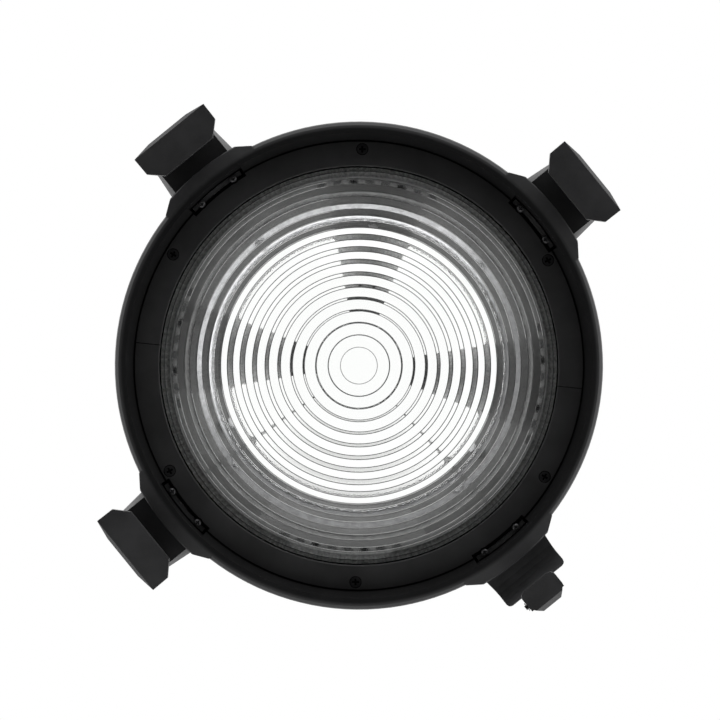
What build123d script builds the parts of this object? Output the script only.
"""Fresnel lens attachment for a studio spotlight: a 10 inch stepped lens in a zooming carriage,
three fixed accessory ears and a latching one, and a quick-fit rear mount.

Millimetres. Drawn about the optical axis as Z: forward positive, Z = 0 at the seat of the rear
mount. save() turns each piece so that the lens faces -Y and +Z is up.
In sections, u is the distance outwards from the axis and t the distance along the tangent.
"""
from build123d import *
from math import sin, cos, tan, asin, atan, radians
import os

os.makedirs("parts", exist_ok=True)

# ---------------------------------------------------------------- driving dimensions
LENS_R = 127.0            # 10 inch lens
LENS_BACK = 131.0         # flat rear surface of the lens, at the flood end of the zoom
LENS_T = 12.0             # thickness over the steps
LENS_CREST = LENS_BACK + LENS_T

RIM_R = 150.0             # outside of the front casting
RIM_FRONT = 158.0
SEAT_Z = 144.0            # plane the retaining ring is screwed to
HOUSING_SCREW_R = 131.0
HOUSING_SCREW_ANGLES = [15 + 45 * i for i in range(8)]
RING_SCREW_R = 133.6
RING_SCREW_ANGLES = [35 + 60 * i for i in range(6)]

ACCESSORY_R = 172.5       # inner wall of the ears: takes a 13.5 inch (343 mm) accessory frame
EAR_ANGLES = (45.0, 135.0, 225.0)
LATCH_ANGLE = 315.0
CORNER_ANGLES = EAR_ANGLES + (LATCH_ANGLE,)
EAR_SCREW_R = 139.0
EAR_SCREW_OFFSETS = (-5.1, 5.1)     # degrees either side of the ear
FLOOR_Z = 138.0           # front face of the ear floors
EAR_FRONT = 181.0         # front face of the ear lips and the latch keeper
GUSSET_IN = 151.6         # inner end of the ear gussets
POCKET_Z = 142.3          # floor of the pockets for the ear clamp plates

BARREL_IN, BARREL_OUT = 136.5, 140.5
BARREL_BACK = 26.05
BARREL_SCREW_R = 138.5
BARREL_SCREW_ANGLES = [20 + 60 * i for i in range(6)]
TUBE_IN, TUBE_OUT = 131.0, 134.0    # carriage tube
TUBE_BACK, TUBE_FRONT = 36.0, 130.0
CAM_IN, CAM_OUT = 140.6, 144.5
ZOOM_IN, ZOOM_OUT = 144.6, 149.0
ZOOM_BACK, ZOOM_FRONT = 36.0, 108.0     # ends of the cam ring and the zoom ring
ZOOM_SCREW_ANGLES = (60, 180, 300)
ZOOM_SCREW_Z = 40.0
GRIP_OUT = 152.0
TRAVEL = 50.0             # carriage travel
TURN = 90.0               # zoom ring rotation for that travel
FOLLOW_Z = 46.0           # follower axis at the flood end
FOLLOW_ANGLES = (90.0, 210.0, 330.0)
SLEEVE_R = 4.95
SLOT_R = 5.03
SLOT_END_R = SLOT_R + 0.02

THROAT_R = 50.0           # clear bore of the rear mount
SEAT_OUT_R = 75.5
MOUNT_SCREW_R = 59.6
MOUNT_SCREW_ANGLES = [centre + offset for centre in (30, 150, 270) for offset in (-17, 17)]
APERTURE_SCREW_R = 61.5
APERTURE_SCREW_ANGLES = [45, 135, 225, 315]
TAB_Y = 113.0             # centre of the safety tab, above the axis
TAB_SCREW_X = (-10.0, 10.0)


# ---------------------------------------------------------------- helpers
def turned(points):
    """Solid of revolution about Z from (radius, z) points."""
    face = make_face(Polyline(*[(r, 0, z) for r, z in points], close=True))
    return revolve(face, axis=Axis.Z, revolution_arc=360)


def rz(shape, angle):
    return Rot(0, 0, angle) * shape


def copies(shape, angles):
    return [rz(shape, angle) for angle in angles]


def cut_around(part, angles, *tools):
    """Cut all the tools from the part at each angle in turn."""
    for angle in angles:
        for tool in tools:
            part -= rz(tool, angle)
    return part


def tube(inner_r, outer_r, z0, z1):
    return turned([(inner_r, z0), (outer_r, z0), (outer_r, z1), (inner_r, z1)])


def box(x0, x1, y0, y1, z0, z1):
    return Pos((x0 + x1) / 2, (y0 + y1) / 2, (z0 + z1) / 2) * Box(x1 - x0, y1 - y0, z1 - z0)


def post(radius, x, y, z0, z1):
    return Pos(x, y, (z0 + z1) / 2) * Cylinder(radius, z1 - z0)


def point_out(shape, u, z):
    """Lay a shape drawn about Z along the X axis, its +z end outwards."""
    return Pos(u, 0, z) * Rot(0, 90, 0) * shape


def radial(radius, u0, u1, z):
    """Cylinder along the X axis from u0 to u1."""
    return point_out(Cylinder(radius, u1 - u0), (u0 + u1) / 2, z)


def prism(points, z0, z1):
    """Polygon in (u, t) raised from z0 to z1."""
    face = make_face(Polyline(*[(x, y, 0) for x, y in points], close=True))
    return Pos(0, 0, z0) * extrude(face, z1 - z0)


def side(points, half):
    """Polygon in (u, z) extruded tangentially from -half to half."""
    face = make_face(Polyline(*[(u, -half, z) for u, z in points], close=True))
    return extrude(face, amount=2 * half, dir=(0, 1, 0))


def polar(radius, angle):
    return radius * cos(radians(angle)), radius * sin(radians(angle))


def mirrored(flank, *tip):
    """Outline symmetric about the u axis, from its +t flank and an optional point on the axis."""
    return [(u, -t) for u, t in flank] + list(tip) + [(u, t) for u, t in reversed(flank)]


def sector(half_angle, z0, z1):
    """Wedge from the axis, reaching past every casting."""
    return prism([(0, 0)] + mirrored([polar(170, half_angle)]), z0, z1)


def arc_block(inner_r, outer_r, z0, z1, half_angle):
    return tube(inner_r, outer_r, z0, z1) & sector(half_angle, z0 - 1, z1 + 1)


def countersink(place_r, head_r, hole_r, mouth_z, cone_z, end_z):
    """Cutter for a screw head: straight from mouth_z to cone_z, then tapered to end_z."""
    return Pos(place_r, 0, 0) * turned([
        (0, mouth_z), (head_r, mouth_z), (head_r, cone_z), (hole_r, end_z), (0, end_z)])


def ear_screw_holes(radius, z0, z1):
    return copies(post(radius, EAR_SCREW_R, 0, z0, z1), EAR_SCREW_OFFSETS)


def cross_recess(depth, size, width):
    """Cross-recess cutter, top at z = 0."""
    along_x = Pos(0, 0, -depth / 2) * Box(size, width, depth)
    along_y = Pos(0, 0, -depth / 2) * Box(width, size, depth)
    return along_x + along_y


def csk_screw(head_r, shank_r, length, head_h, slot=0.95, reach=1.15):
    """Countersunk cross-head screw, head face at z = 0, pointing to -z."""
    screw = turned([(0, 0), (head_r, 0), (head_r, -0.35), (shank_r, -head_h),
                    (shank_r, -length), (0, -length)])
    return screw - cross_recess(1.4, head_r * reach, slot)


def pan_screw(head_r, head_h, shank_r, length):
    """Pan-head cross screw, underside of the head at z = 0, pointing to -z."""
    screw = turned([(0, head_h), (head_r * 0.55, head_h), (head_r * 0.88, head_h * 0.75),
                    (head_r, head_h * 0.35), (head_r, 0),
                    (shank_r, 0), (shank_r, -length), (0, -length)])
    return screw - Pos(0, 0, head_h) * cross_recess(1.2, head_r * 1.1, 0.85)


def grub_screw(length):
    """Headless screw with a conical tip beyond its length, pointing to -z."""
    return turned([(0, 0), (1.2, 0), (1.2, -length), (0, -length - 0.6)])


def save(name, *shapes):
    solids = [Rot(90, 0, 0) * solid for shape in shapes for solid in shape.solids()]
    piece = solids[0] if len(solids) == 1 else Compound(children=solids)
    export_step(piece, f"parts/{name}.step")


# ---------------------------------------------------------------- lens
FOCAL = 255.0
GLASS_INDEX = 1.5
STEP_R0 = 11.7            # radius of the central facet
STEP_PITCH = 7.6
STEP_COUNT = 15
RISER_GROWTH = 0.32       # the risers grow by this much from one step to the next
RISER_SHIFT = -0.3        # radial shift of every riser
FACET_CHORDS = 3          # straight pieces in each facet


def facet_angle(height):
    """Slope of the step at this radius that sends a ray parallel to the axis to the focus."""
    goal = asin(sin(atan(height / FOCAL)) / GLASS_INDEX)
    low, high = 0.0, 1.4
    for _ in range(60):
        middle = (low + high) / 2
        if middle - asin(sin(middle) / GLASS_INDEX) < goal:
            low = middle
        else:
            high = middle
    return low


def fresnel_lens():
    edges = [0.0] + [STEP_R0 + i * STEP_PITCH for i in range(STEP_COUNT)]
    outline = []
    for i, (inner, outer) in enumerate(zip(edges[:-1], edges[1:])):
        # the riser between two facets is drafted like a pressed lens, wider towards the rim
        start = inner + RISER_SHIFT + RISER_GROWTH * i / 2 if i else 0.0
        end = outer + RISER_SHIFT - RISER_GROWTH * (i + 1) / 2
        z = LENS_CREST
        outline.append((start, z))
        for j in range(FACET_CHORDS):
            near = start + (end - start) * j / FACET_CHORDS
            far = start + (end - start) * (j + 1) / FACET_CHORDS
            z -= (far - near) * tan(facet_angle((near + far) / 2))
            outline.append((far, z))
    last = edges[-1] + RISER_SHIFT + RISER_GROWTH * STEP_COUNT / 2
    outline += [(last, LENS_CREST), (LENS_R, LENS_CREST), (LENS_R, LENS_BACK), (0, LENS_BACK)]
    return turned(outline)


save("fresnel_lens", fresnel_lens())
save("lens_rear_gasket", tube(123.2, 127.2, LENS_BACK - 0.98, LENS_BACK - 0.02))
save("lens_front_gasket", tube(123.6, 127.3, LENS_CREST + 0.02, LENS_CREST + 0.98))


# ---------------------------------------------------------------- carriage, slides in the barrel
def carriage_tube():
    carriage = turned([(119.8, 127.5), (TUBE_IN, 123.5), (TUBE_IN, TUBE_BACK),
                       (TUBE_OUT, TUBE_BACK), (TUBE_OUT, TUBE_FRONT), (119.8, TUBE_FRONT)])
    carriage = cut_around(carriage, HOUSING_SCREW_ANGLES,
                          post(1.3, HOUSING_SCREW_R, 0, 120.0, 131.0))
    return cut_around(carriage, FOLLOW_ANGLES, radial(3.0, 128, 136, FOLLOW_Z))


save("carriage_tube", carriage_tube())
save("carriage_glide_band", tube(TUBE_OUT + 0.02, 136.4, 36.3, 39.8))

# ---------------------------------------------------------------- front casting
PAD_R = 154.6             # outside of the four pads that carry the ears
PAD_ROOT_ANGLE = 13.1     # half angles of a pad at its root and at its outer face
PAD_FACE_ANGLE = 9.4


def housing_pad():
    profile = turned([(146.0, 138.9), (PAD_R, 138.9), (PAD_R, 154.4), (153.9, 155.3),
                      (147.2, 157.5), (146.0, 157.6)])
    beyond = PAD_R + 1.0
    flank = [polar(145.9, PAD_ROOT_ANGLE), polar(149.9, PAD_ROOT_ANGLE),
             polar(PAD_R, PAD_FACE_ANGLE), polar(beyond, PAD_FACE_ANGLE)]
    tip = (beyond / cos(radians(PAD_FACE_ANGLE)) * 1.01, 0.0)
    return prism(mirrored(flank, tip), 138.0, 159.0) & profile


def lens_housing():
    housing = turned([
        (127.6, 130.05), (134.6, 130.05), (134.6, 133.5), (136.4, 135.6), (136.4, 138.4),
        (145.2, 138.4), (145.2, 120.0), (RIM_R, 120.0), (RIM_R, 152.5), (149.2, 155.4),
        (147.4, 157.4), (145.6, RIM_FRONT), (142.8, RIM_FRONT), (139.5, 147.5),
        (139.0, SEAT_Z), (127.6, SEAT_Z)])
    pad = housing_pad()
    for angle in CORNER_ANGLES:
        housing += rz(pad, angle)
    # window for the ear's tongue, pocket for the ear's screw heads, and the screw holes
    window = box(142.6, 160.0, -21.3, 21.3, 131.4, 138.65)
    pocket = arc_block(136.4, 142.0, POCKET_Z, RIM_FRONT + 1, 8.3)
    housing = cut_around(housing, CORNER_ANGLES, window, pocket,
                         *ear_screw_holes(1.7, 137.0, 145.0))
    housing = cut_around(
        housing, HOUSING_SCREW_ANGLES, post(1.7, HOUSING_SCREW_R, 0, 129.0, 145.0),
        countersink(HOUSING_SCREW_R, 3.1, 1.7, SEAT_Z + 1, SEAT_Z - 0.6, SEAT_Z - 2.3))
    return cut_around(housing, RING_SCREW_ANGLES, post(1.75, RING_SCREW_R, 0, 136.5, 145.0))


save("lens_housing", lens_housing())
save("housing_screws", *copies(
    Pos(HOUSING_SCREW_R, 0, SEAT_Z - 0.3) * csk_screw(2.9, 1.28, 17.0, 1.9),
    HOUSING_SCREW_ANGLES))

# ---------------------------------------------------------------- two-piece lens retaining ring
RING_IN, RING_OUT = 123.2, 138.4
RING_BACK, RING_FRONT = SEAT_Z + 0.02, SEAT_Z + 2.6
RING_HALF_GAP = 0.25      # from the joint plane to each half


def retaining_ring():
    ring = turned([
        (RING_IN + 0.5, RING_BACK), (RING_OUT, RING_BACK), (RING_OUT, RING_FRONT - 0.2),
        (RING_OUT - 0.2, RING_FRONT), (RING_IN + 0.6, RING_FRONT),
        (RING_IN, RING_FRONT - 0.6), (RING_IN, RING_BACK + 0.5)])
    z0, z1 = SEAT_Z - 1, SEAT_Z + 4
    ring = cut_around(ring, CORNER_ANGLES, arc_block(136.2, 140.0, z0, z1, 8.4),
                      *ear_screw_holes(3.2, z0, z1))
    return cut_around(
        ring, RING_SCREW_ANGLES, post(1.95, RING_SCREW_R, 0, z0, z1),
        countersink(RING_SCREW_R, 3.75, 1.95,
                    RING_FRONT + 0.5, RING_FRONT - 0.45, RING_FRONT - 2.3))


whole_ring = retaining_ring()
save("retaining_ring_upper", whole_ring & box(-160, 160, RING_HALF_GAP, 160, 140, 150))
save("retaining_ring_lower", whole_ring & box(-160, 160, -160, -RING_HALF_GAP, 140, 150))
save("retaining_ring_screws", *copies(
    Pos(RING_SCREW_R, 0, RING_FRONT - 0.05) * csk_screw(3.3, 1.7, 9.0, 1.95, 1.15, 1.28),
    RING_SCREW_ANGLES))

# ---------------------------------------------------------------- fixed ears
EAR_OUT = 178.5           # outer face of the wall
EAR_HALF = 20.7           # half width of the wall and floor
DRAFT = tan(radians(9.0))


def ear_tongue():
    """Tongue of an ear under the front casting."""
    return box(136.6, 152.0, -20.6, 20.6, 132.0, FLOOR_Z)


def ear_foot():
    """Tongue, floor and the drafted gusset behind it."""
    gusset = side([(GUSSET_IN, FLOOR_Z), (EAR_OUT, FLOOR_Z), (EAR_OUT, 131.0),
                   (EAR_OUT - 3.0, 128.5), (157.5, 114.5), (GUSSET_IN, 113.0)], 30)
    # trim the sides so that they lean out towards the back
    back_z, far = 112.0, 40.0
    back_half = EAR_HALF + (FLOOR_Z - back_z) * DRAFT
    trim_face = make_face(Polyline((0, EAR_HALF, FLOOR_Z), (0, far, FLOOR_Z),
                                   (0, far, back_z), (0, back_half, back_z), close=True))
    trim = extrude(trim_face, amount=200, dir=(1, 0, 0))
    gusset -= trim
    gusset -= mirror(trim, Plane.XZ)
    # hollow underside leaving two ribs and the floor
    gusset -= side([(150.0, 133.5), (EAR_OUT - 5.5, 133.5), (EAR_OUT - 5.5, 130.6),
                    (157.0, 110.0), (150.0, 110.0)], EAR_HALF - 4.5)
    return cut_around(ear_tongue() + gusset, (0,), *ear_screw_holes(1.25, 130.0, FLOOR_Z + 1))


def fixed_ear():
    foot = ear_foot()
    wall = box(ACCESSORY_R, EAR_OUT, -EAR_HALF, EAR_HALF, 131.5, 177.0)
    lip = prism(mirrored([(162.3, 18.2), (170.3, 26.6), (181.6, 26.8), (184.0, 14.5)]),
                176.0, EAR_FRONT)
    # the outer side leans inwards to a straight front edge
    lip -= side([(184.6, 175.4), (181.6, EAR_FRONT), (181.6, 182.0), (190.0, 182.0),
                 (190.0, 175.4)], 40)
    # rounded roots between wall and lip, and wall and floor
    lip_root = side([(ACCESSORY_R + 0.01, 173.0), (ACCESSORY_R + 0.01, 176.5), (169.5, 176.5),
                     (169.5, 176.0), (171.4, 175.2), (172.2, 174.2)], 18.0)
    floor_root = side([(ACCESSORY_R + 0.5, FLOOR_Z - 0.5), (ACCESSORY_R + 0.5, FLOOR_Z + 4),
                       (ACCESSORY_R, FLOOR_Z + 4), (171.4, FLOOR_Z + 1.2), (168.5, FLOOR_Z),
                       (168.5, FLOOR_Z - 0.5)], EAR_HALF)
    return foot + wall + lip + lip_root + floor_root


ear = fixed_ear()
for ear_place, ear_angle in zip(("upper_right", "upper_left", "lower_left"), EAR_ANGLES):
    save(f"ear_{ear_place}", rz(ear, ear_angle))

# ---------------------------------------------------------------- latch ear
PIVOT_U, PIVOT_Z = 181.0, 147.0
BRACKET_OUT = 174.1
CLIP_T = -13.4            # place of the clip along the pin
KEEPER_HALF = 12.6
# bracket seen from the side, (u, z)
BRACKET_SIDE = [
    (GUSSET_IN, FLOOR_Z), (156.5, FLOOR_Z), (161.0, 138.5), (164.8, 140.0), (167.9, 142.6),
    (170.2, 146.0), (171.8, 149.6), (172.9, 152.4), (BRACKET_OUT, 153.0),
    (BRACKET_OUT, 130.5), (171.6, 128.0), (157.0, 114.8), (GUSSET_IN, 113.0)]
# half of the bracket seen from the front, (u, t)
BRACKET_FLANK = [
    (151.0, 23.7), (154.0, 23.4), (158.0, 22.9), (162.0, 22.5), (166.0, 22.3),
    (169.5, 22.35), (171.6, 22.3), (172.9, 21.8), (173.7, 20.8), (BRACKET_OUT, 19.4),
    (BRACKET_OUT + 0.4, 17.0)]


def on_pivot(shape, t=0.0):
    """Lay a shape drawn about Z along the latch pivot."""
    return Pos(PIVOT_U, t, PIVOT_Z) * Rot(90, 0, 0) * shape


def washer(outer_r, inner_r, height):
    return Cylinder(outer_r, height) - Cylinder(inner_r, height)


def latch_bracket():
    bracket = side(BRACKET_SIDE, 24.0) & prism(mirrored(BRACKET_FLANK), 100.0, 170.0)
    bracket -= side([(150.0, 133.5), (168.6, 133.5), (168.6, 130.0), (156.5, 110.0),
                     (150.0, 110.0)], 17.0)
    bracket += ear_tongue()
    # shadow groove along the foot of the pad
    bracket -= side([(151.7, FLOOR_Z + 1.0), (151.7, FLOOR_Z - 0.7), (152.5, FLOOR_Z - 0.7),
                     (152.5, FLOOR_Z + 1.0)], 26.0)
    bracket = cut_around(bracket, (0,), *ear_screw_holes(1.25, 130.0, FLOOR_Z + 1))
    # knuckle for the pin
    bracket += side([(173.0, 138.0), (178.5, 141.2), (184.0, 144.6), (184.0, 149.6),
                     (181.5, 151.0), (173.4, 151.0)], 4.5)
    return bracket - on_pivot(Cylinder(1.5, 60))


def latch_pivot_pin():
    return on_pivot(Cylinder(1.49, 26.5), -1.35) - on_pivot(washer(2.0, 1.15, 0.7), CLIP_T)


def latch_pin_clip():
    clip = on_pivot(washer(2.9, 1.18, 0.5), CLIP_T)
    return clip - box(PIVOT_U, PIVOT_U + 4, CLIP_T - 1, CLIP_T + 1, PIVOT_Z - 0.9, PIVOT_Z + 0.9)


def latch_keeper():
    """Swinging keeper: an arm with two bearing cheeks, and a head like the fixed ears' lip."""
    arm = side([(178.5, 144.0), (181.0, 143.2), (183.8, 144.6), (184.5, 148.0), (184.0, 160.0),
                (184.0, 177.0), (177.0, 177.0), (177.0, 155.0), (177.3, 147.0)], KEEPER_HALF)
    arm -= side([(170.0, 140.0), (190.0, 140.0), (190.0, 153.2), (170.0, 153.2)], 9.1)
    head = prism(mirrored([(168.6, 9.0), (169.4, 11.2), (171.9, KEEPER_HALF),
                           (181.8, KEEPER_HALF), (186.1, 8.0)]), 173.5, EAR_FRONT)
    head -= side([(186.5, 173.0), (182.3, EAR_FRONT), (182.3, 182.0), (190.0, 182.0),
                  (190.0, 173.0)], 40)
    keeper = arm + head
    # cut off outer corners, from just over the bearing cheeks to the front face
    for sign in (-1, 1):
        corner_t = sign * (KEEPER_HALF + 0.1)
        keeper -= prism([(179.1, corner_t), (187.0, corner_t), (187.0, sign * 6.0)],
                        154.5, 182.0)
    keeper -= on_pivot(Cylinder(1.55, 60))
    # finger grooves on the outer side
    for z in (160.0, 164.0, 168.0):
        keeper -= side([(183.2, z), (184.9, z - 1.0), (184.9, z + 1.0)], 20)
    return keeper


def latch_spring():
    """Torsion spring on the pin."""
    turns = Helix(pitch=0.85, height=3.4, radius=2.35)
    wire = Plane(origin=turns @ 0, z_dir=turns % 0) * Circle(0.36)
    coil = sweep(sections=wire, path=turns, is_frenet=True)
    return Pos(PIVOT_U, 5.05, PIVOT_Z) * (Rot(-90, 0, 0) * coil)


def latch_spacer():
    return on_pivot(washer(3.0, 1.55, 4.2), -6.8)


for build in (latch_bracket, latch_pivot_pin, latch_pin_clip, latch_keeper, latch_spring,
              latch_spacer):
    save(build.__name__, rz(build(), LATCH_ANGLE))


# ---------------------------------------------------------------- ear fastenings
def ear_clamp_plate():
    """Plate under a pair of screw heads, in a pocket of the casting."""
    plate = turned([(138.5, POCKET_Z + 0.02), (141.5, POCKET_Z + 0.02), (141.5, 143.6),
                    (141.15, 143.95), (138.9, 143.95), (138.5, 143.55)])
    plate &= sector(7.6, 141.0, 146.0)
    return cut_around(plate, (0,), *ear_screw_holes(1.6, 140.0, 146.0))


save("ear_clamp_plates", *copies(ear_clamp_plate(), CORNER_ANGLES))
save("ear_screws", *copies(
    Pos(EAR_SCREW_R, 0, 143.97) * pan_screw(2.35, 2.2, 1.22, 11.0),
    [corner + offset for corner in CORNER_ANGLES for offset in EAR_SCREW_OFFSETS]))

# ---------------------------------------------------------------- rear mount
LUG_ANGLES = (90, 210, 330)
LUG_HALF_ANGLE = 21
LOCK_R, LOCK_ANGLE = 69.8, 60.0     # place of the lock hole


def bayonet_ring():
    mount = turned([
        (THROAT_R, -9.0), (54.5, -9.0), (55.0, -8.5), (55.0, 0.7), (64.0, 0.7), (64.3, 0.0),
        (75.0, 0.0), (SEAT_OUT_R, 0.5), (SEAT_OUT_R, 5.0), (THROAT_R, 5.0)])
    lug_ring = turned([(52.0, -9.0), (61.0, -9.0), (61.5, -8.5), (61.5, -5.6), (55.0, -5.0),
                       (52.0, -5.0)])
    lug = lug_ring & sector(LUG_HALF_ANGLE, -10.0, -4.0)
    for angle in LUG_ANGLES:
        mount += rz(lug, angle)
    mount = cut_around(mount, MOUNT_SCREW_ANGLES, post(1.75, MOUNT_SCREW_R, 0, -1.0, 6.0),
                       countersink(MOUNT_SCREW_R, 3.6, 1.75, 0, 1.25, 3.2))
    return mount - rz(post(3.25, LOCK_R, 0, -1.0, 6.0), LOCK_ANGLE)


save("bayonet_ring", bayonet_ring())
save("bayonet_screws", *copies(
    Pos(MOUNT_SCREW_R, 0, 0.78) * Rot(180, 0, 0) * csk_screw(3.4, 1.7, 12.0, 1.95),
    MOUNT_SCREW_ANGLES))

# ---------------------------------------------------------------- rear casting
WINDOW_IN, WINDOW_OUT = 97.0, 135.6
# start and end angle of each window, between three broad arms and two slender spokes
WINDOWS = ((15.0, 74.0), (106.0, 165.0), (195.0, 220.3), (221.7, 318.3), (319.7, 345.0))
VENT_PITCH = 5.06         # degrees; eight vents to a quadrant
RIB_COUNT = 24
RIB_HALF = 1.1


def rear_window(start, end):
    pieces = max(2, int((end - start) / 30) + 1)
    fan = [(0.0, 0.0)]
    fan += [polar(190, start + (end - start) * j / pieces) for j in range(pieces + 1)]
    hole = tube(WINDOW_IN, WINDOW_OUT, 20.0, 28.0) & prism(fan, 19.0, 29.0)
    return fillet(hole.edges().filter_by(Axis.Z), 5.0)


def rear_rib(outer_points):
    rib = side([(64.5, 22.5), (64.5, 16.5)] + outer_points, RIB_HALF)
    return rib - box(62.0, 77.5, -3, 3, 10.0, 22.0)


def rear_housing():
    """Neck, vented hub, open spider and spigot for the barrel."""
    rear = turned([
        (56.5, 5.05), (63.0, 5.05), (63.0, 20.0), (65.0, 22.0), (141.2, 22.0), (143.8, 24.0),
        (145.0, 27.0), (145.0, 31.0), (140.6, 31.0), (140.6, 26.0), (56.5, 26.0)])
    vent_angles = [quadrant + (i - 3.5) * VENT_PITCH
                   for quadrant in (0, 90, 180, 270) for i in range(8)]
    rear = cut_around(rear, vent_angles, box(70.5, 73.7, -1.55, 1.55, 20.0, 28.0))
    for start, end in WINDOWS:
        rear -= rear_window(start, end)
    rear += tube(WINDOW_IN - 2.6, WINDOW_IN, 17.5, 22.5)
    # ribs end at the hub where there is a window outside it, and run out along the arms
    short_rib = rear_rib([(80.0, 15.0), (WINDOW_IN - 1.5, 18.0), (WINDOW_IN - 1.5, 22.5)])
    long_rib = rear_rib([(80.0, 13.5), (126.0, 17.0), (134.5, 22.5)])
    for i in range(RIB_COUNT):
        angle = 7.5 + 360 / RIB_COUNT * i
        at_window = any(start - 2 < angle < end + 2 for start, end in WINDOWS)
        rear += rz(short_rib if at_window else long_rib, angle)
    # raised land for the safety tab at the top
    rear -= box(-17.5, 17.5, TAB_Y - 11.5, TAB_Y + 11.5, 8.0, 18.0)
    rear += box(-16.0, 16.0, TAB_Y - 10, TAB_Y + 10, 16.0, 23.0)
    rear = cut_around(rear, MOUNT_SCREW_ANGLES, post(1.75, MOUNT_SCREW_R, 0, 4.0, 15.0))
    for x in TAB_SCREW_X:
        rear -= post(2.1, x, TAB_Y, 12.0, 27.0)
    rear = cut_around(rear, BARREL_SCREW_ANGLES, post(1.35, BARREL_SCREW_R, 0, 20.0, 28.0),
                      countersink(BARREL_SCREW_R, 2.65, 1.35, 21.0, 22.6, 24.0))
    return cut_around(rear, APERTURE_SCREW_ANGLES, post(1.3, APERTURE_SCREW_R, 0, 20.0, 27.0))


def aperture_ring():
    ring = turned([(57.2, 26.05), (66.0, 26.05), (66.0, 27.2), (65.6, 27.6), (58.4, 27.6),
                   (57.2, 26.8)])
    return cut_around(ring, APERTURE_SCREW_ANGLES, post(1.6, APERTURE_SCREW_R, 0, 25.0, 29.0))


def safety_tab():
    """Plate on the land with a pierced fin pointing backwards."""
    y0, y1 = TAB_Y - 9, TAB_Y + 9
    tab = box(-15.0, 15.0, y0, y1, 13.4, 15.95)
    tab += box(-1.5, 1.5, y0, y1, 0.6, 14.5)
    tab -= Pos(0, TAB_Y, 6.2) * Rot(0, 90, 0) * Cylinder(4.0, 20)
    # bevel the two rear corners of the fin
    for sign in (-1, 1):
        edge, inner = TAB_Y + 9.1 * sign, TAB_Y + 5 * sign
        tab -= Rot(0, 0, 90) * side([(edge, 0.5), (inner, 0.5), (edge, 4.6)], 2.0)
    for x in TAB_SCREW_X:
        tab -= post(2.2, x, TAB_Y, 12.0, 17.0)
    return tab


save("rear_housing", rear_housing())
save("aperture_ring", aperture_ring())
save("aperture_ring_screws", *copies(
    Pos(APERTURE_SCREW_R, 0, 27.65) * pan_screw(2.3, 1.3, 1.28, 6.0), APERTURE_SCREW_ANGLES))
save("safety_tab", safety_tab())
save("safety_tab_screws", *[
    Pos(x, TAB_Y, 13.35) * Rot(180, 0, 0) * pan_screw(3.6, 2.4, 2.0, 9.0) for x in TAB_SCREW_X])

# ---------------------------------------------------------------- fixed barrel
COLLAR_IN = BARREL_OUT + 0.05
COLLAR_SCREW_Z = 110.1
COLLAR_SCREW_ANGLES = (30, 150, 270)


def outer_barrel():
    barrel = turned([
        (BARREL_IN, BARREL_BACK), (BARREL_OUT, BARREL_BACK), (BARREL_OUT, 32.4),
        (145.0, 32.4), (145.0, 35.6), (BARREL_OUT, 35.6), (BARREL_OUT, 117.4),
        (139.9, 118.0), (137.1, 118.0), (BARREL_IN, 117.4)])
    # straight slots for the followers, with round ends
    barrel = cut_around(
        barrel, FOLLOW_ANGLES,
        box(130, 144, -SLOT_END_R, SLOT_END_R, FOLLOW_Z, FOLLOW_Z + TRAVEL),
        radial(SLOT_END_R, 130, 144, FOLLOW_Z),
        radial(SLOT_END_R, 130, 144, FOLLOW_Z + TRAVEL))
    return cut_around(barrel, BARREL_SCREW_ANGLES, post(1.25, BARREL_SCREW_R, 0, 25.0, 34.0))


def zoom_collar():
    collar = turned([(COLLAR_IN, 108.2), (146.5, 108.2), (147.5, 109.2), (147.5, 111.0),
                     (146.5, 112.0), (COLLAR_IN, 112.0)])
    return cut_around(collar, COLLAR_SCREW_ANGLES, radial(1.25, 139, 149, COLLAR_SCREW_Z))


save("outer_barrel", outer_barrel())
save("barrel_screws", *copies(
    Pos(BARREL_SCREW_R, 0, 22.1) * Rot(180, 0, 0) * csk_screw(2.45, 1.2, 11.0, 1.6),
    BARREL_SCREW_ANGLES))
save("barrel_glide_band", tube(TUBE_OUT + 0.08, BARREL_IN - 0.02, 110.0, 116.0))
save("zoom_collar", zoom_collar())
save("zoom_collar_screws", *copies(
    point_out(grub_screw(6.0), 147.2, COLLAR_SCREW_Z), COLLAR_SCREW_ANGLES))

# ---------------------------------------------------------------- cam ring and zoom ring
GRIP_RIBS = 60


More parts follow.
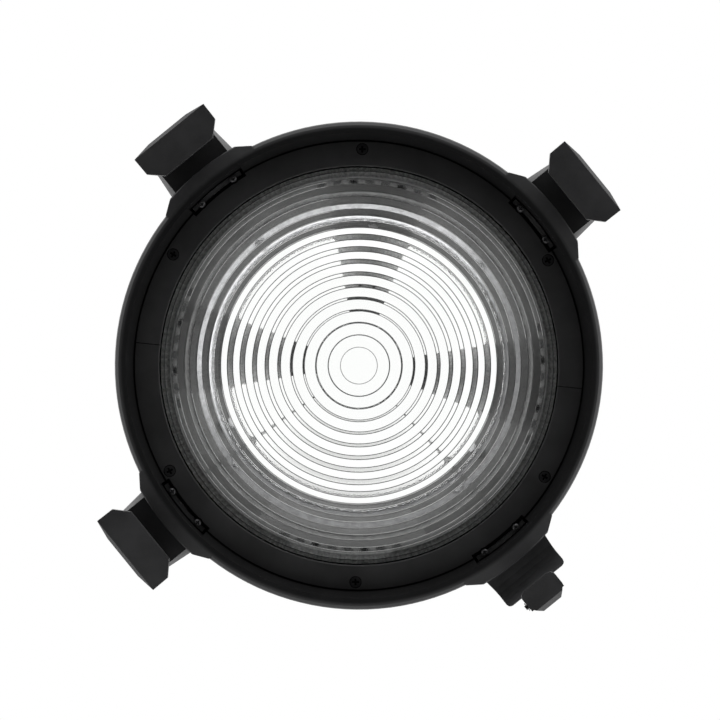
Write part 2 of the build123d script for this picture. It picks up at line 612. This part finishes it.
def cam_ring():
    cam = tube(CAM_IN, CAM_OUT, ZOOM_BACK, ZOOM_FRONT)
    middle = (CAM_IN + CAM_OUT) / 2
    slope = atan(TRAVEL / (middle * radians(TURN)))
    path = Helix(pitch=TRAVEL * 360.0 / TURN, height=TRAVEL, radius=middle, lefthand=True)
    half_z = (SLOT_R + 0.03) / cos(slope)
    section = make_face(Polyline(
        (middle - 5, 0, -half_z), (middle + 5, 0, -half_z),
        (middle + 5, 0, half_z), (middle - 5, 0, half_z), close=True))
    slot = sweep(sections=section, path=path, is_frenet=True)
    # helical slots with round ends
    cam = cut_around(
        cam, FOLLOW_ANGLES, Pos(0, 0, FOLLOW_Z) * slot,
        radial(SLOT_END_R, 138, 148, FOLLOW_Z),
        rz(radial(SLOT_END_R, 138, 148, FOLLOW_Z + TRAVEL), -TURN))
    return cut_around(cam, ZOOM_SCREW_ANGLES, radial(1.25, 138, 148, ZOOM_SCREW_Z))


def zoom_ring():
    zoom = turned([
        (ZOOM_IN, ZOOM_BACK), (147.8, ZOOM_BACK), (ZOOM_OUT, 37.2), (ZOOM_OUT, 44.0),
        (148.0, 45.0), (148.0, 99.0), (ZOOM_OUT, 100.0), (ZOOM_OUT, 106.8),
        (147.8, ZOOM_FRONT), (ZOOM_IN, ZOOM_FRONT)])
    return cut_around(zoom, ZOOM_SCREW_ANGLES, radial(1.25, 143, 151, ZOOM_SCREW_Z))


def zoom_grip():
    grip = tube(148.05, 150.0, 45.3, 98.7)
    rib = prism(mirrored([(149.5, 2.9), (151.3, 2.9), (GRIP_OUT, 2.2)]), 46.5, 97.5)
    return grip.fuse(*copies(rib, [360.0 / GRIP_RIBS * i for i in range(GRIP_RIBS)]))


save("cam_ring", cam_ring())
save("zoom_ring", zoom_ring())
save("zoom_ring_screws", *copies(
    point_out(grub_screw(6.5), 148.7, ZOOM_SCREW_Z), ZOOM_SCREW_ANGLES))
save("zoom_grip", zoom_grip())

# ---------------------------------------------------------------- cam followers
FOLLOWER_OUT = 144.2      # outer face of the studs and sleeves


def follower_stud():
    stud = turned([(0, 0), (4.3, 0), (4.3, -1.6), (2.9, -1.6), (2.9, -16.6), (0, -16.6)])
    return stud - cross_recess(1.2, 4.2, 1.0)


def follower_sleeve():
    return turned([(2.95, -10.0), (SLEEVE_R, -10.0), (SLEEVE_R, 0), (4.4, 0), (4.4, -1.65),
                   (2.95, -1.65)])


def follower_nut():
    return extrude(RegularPolygon(5.0, 6), 3.0) - Cylinder(2.95, 20)


for name, follower, place_u in (("follower_studs", follower_stud(), FOLLOWER_OUT),
                                ("follower_sleeves", follower_sleeve(), FOLLOWER_OUT),
                                ("follower_nuts", follower_nut(), 127.75)):
    save(name, *copies(point_out(follower, place_u, FOLLOW_Z), FOLLOW_ANGLES))
